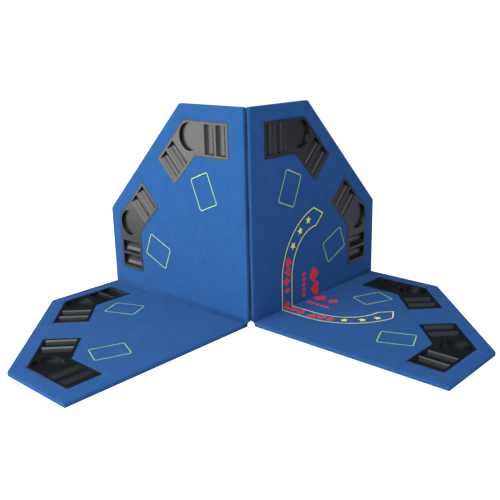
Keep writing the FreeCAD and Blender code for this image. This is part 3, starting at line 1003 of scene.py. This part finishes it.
def camera_only(tree, seen, lit):
    """A strength that the camera sees as one value and that lights the object as another."""
    path = node(tree, "LightPath")
    pick = node(tree, "Mix")
    pick.inputs["A"].default_value = lit
    pick.inputs["B"].default_value = seen
    tree.links.new(path.outputs["Is Camera Ray"], pick.inputs["Factor"])
    return pick.outputs["Result"]


def make_floor():
    """White paper, overexposed for the camera as in a cut-out photograph."""
    bpy.ops.mesh.primitive_plane_add(size=80, location=(0, 0, 0))
    floor = bpy.context.object
    floor.name = "floor"

    def surface(tree, shader):
        place = object_place(tree)
        mottle = noise(tree, place, 2)
        shade = ramp(tree, mottle, [(0.3, (0.72, 0.72, 0.73)), (0.7, (0.75, 0.75, 0.76))])
        tree.links.new(shade, shader.inputs["Base Color"])
        shader.inputs["Roughness"].default_value = 0.8
        shader.inputs["Specular IOR Level"].default_value = 0.0
        shader.inputs["Emission Color"].default_value = (1, 1, 1, 1)
        tree.links.new(camera_only(tree, 1.0, 0.05), shader.inputs["Emission Strength"])

    floor.data.materials.append(material("pale_floor", surface))


def make_world():
    """White for the camera. The room that lights the object is dim, and paler at the horizon
    and overhead."""
    world = bpy.data.worlds.new("studio")
    bpy.context.scene.world = world
    world.use_nodes = True
    tree = world.node_tree
    background = tree.nodes["Background"]
    place = node(tree, "TexCoord").outputs["Generated"]
    split = node(tree, "SeparateXYZ")
    tree.links.new(place, split.inputs["Vector"])
    stops = [(height, tuple(part * grey for part in ROOM_TINT)) for height, grey in ROOM_GREYS]
    shade = ramp(tree, split.outputs["Z"], stops)
    path = node(tree, "LightPath")
    seen = mix(tree, path.outputs["Is Camera Ray"], shade, (1.05, 1.05, 1.05))
    tree.links.new(seen, background.inputs["Color"])
    background.inputs["Strength"].default_value = 1.0


def make_area_light(name, place, target, width, height, power, colour):
    data = bpy.data.lights.new(name, "AREA")
    data.shape = "RECTANGLE"
    data.size, data.size_y = width, height
    data.energy = power
    data.color = colour
    light = bpy.data.objects.new(name, data)
    bpy.context.scene.collection.objects.link(light)
    light.location = place
    direction = Vector(target) - Vector(place)
    light.rotation_euler = direction.to_track_quat("-Z", "Y").to_euler()
    light.visible_camera = False


def make_camera():
    """The view from the play side, a little above the uprights' top."""
    seam = Vector(joint("centre_seam")["pos_m"])
    level = Vector((math.sin(CAMERA_YAW), math.cos(CAMERA_YAW), 0))
    forward = level * math.cos(CAMERA_PITCH) - UP * math.sin(CAMERA_PITCH)
    right = Vector((math.cos(CAMERA_YAW), -math.sin(CAMERA_YAW), 0))
    upward = right.cross(forward)
    rolled_right = right * math.cos(CAMERA_ROLL) + upward * math.sin(CAMERA_ROLL)
    rolled_up = upward * math.cos(CAMERA_ROLL) - right * math.sin(CAMERA_ROLL)
    data = bpy.data.cameras.new("camera")
    data.sensor_width = 36
    data.lens = CAMERA_LENS
    data.shift_x, data.shift_y = CAMERA_SHIFT
    data.clip_start, data.clip_end = 0.05, 200
    camera = bpy.data.objects.new("camera", data)
    bpy.context.scene.collection.objects.link(camera)
    turn = Matrix((rolled_right, rolled_up, -forward)).transposed()
    place = Vector((seam.x, seam.y, 0)) + CAMERA_PLACE
    camera.matrix_world = Matrix.Translation(place) @ turn.to_4x4()
    bpy.context.scene.camera = camera


def make_lights():
    """Soft boxes: each has its place, its aim, its width and height, and its power in watts."""
    make_area_light("key_softbox", (-2.0, -2.3, 2.6), (0, -0.1, 0.1), 3.4, 3.4, 160, WARM)
    make_area_light("left_softbox", (-1.9, -0.1, 0.38), (0, 0.0, 0.3), 2.4, 0.8, 24, WARM)
    make_area_light("front_softbox", (-0.1, -2.7, 1.3), (0, 0, 0.3), 1.2, 0.7, 9, COOL)
    make_area_light("front_strip", (0, -2.0, 2.7), (0, -0.1, 0), 2.4, 0.12, 5, COOL)
    make_area_light("top_softbox", (-0.3, -0.6, 3.0), (0, 0, 0.2), 6.0, 6.0, 54, SKY)
    make_area_light("right_fill", (2.2, -0.9, 0.8), (0.2, 0.1, 0.2), 0.9, 0.9, 9, VIOLET)


def make_studio():
    make_floor()
    make_world()
    make_lights()
    make_camera()
    bpy.context.scene.view_settings.view_transform = "Standard"


# ---------------------------------------------------------------- the model

halves = [Half(side) for side in SIDES]
for half in halves:
    make_felt(half)
    make_webbing(half)
    for level in LEVELS:
        for place, turn in TRAY_TURNS.items():
            make_tray_bead(half, level, place, turn)
make_seam_tapes()
dress_nodes()
make_studio()
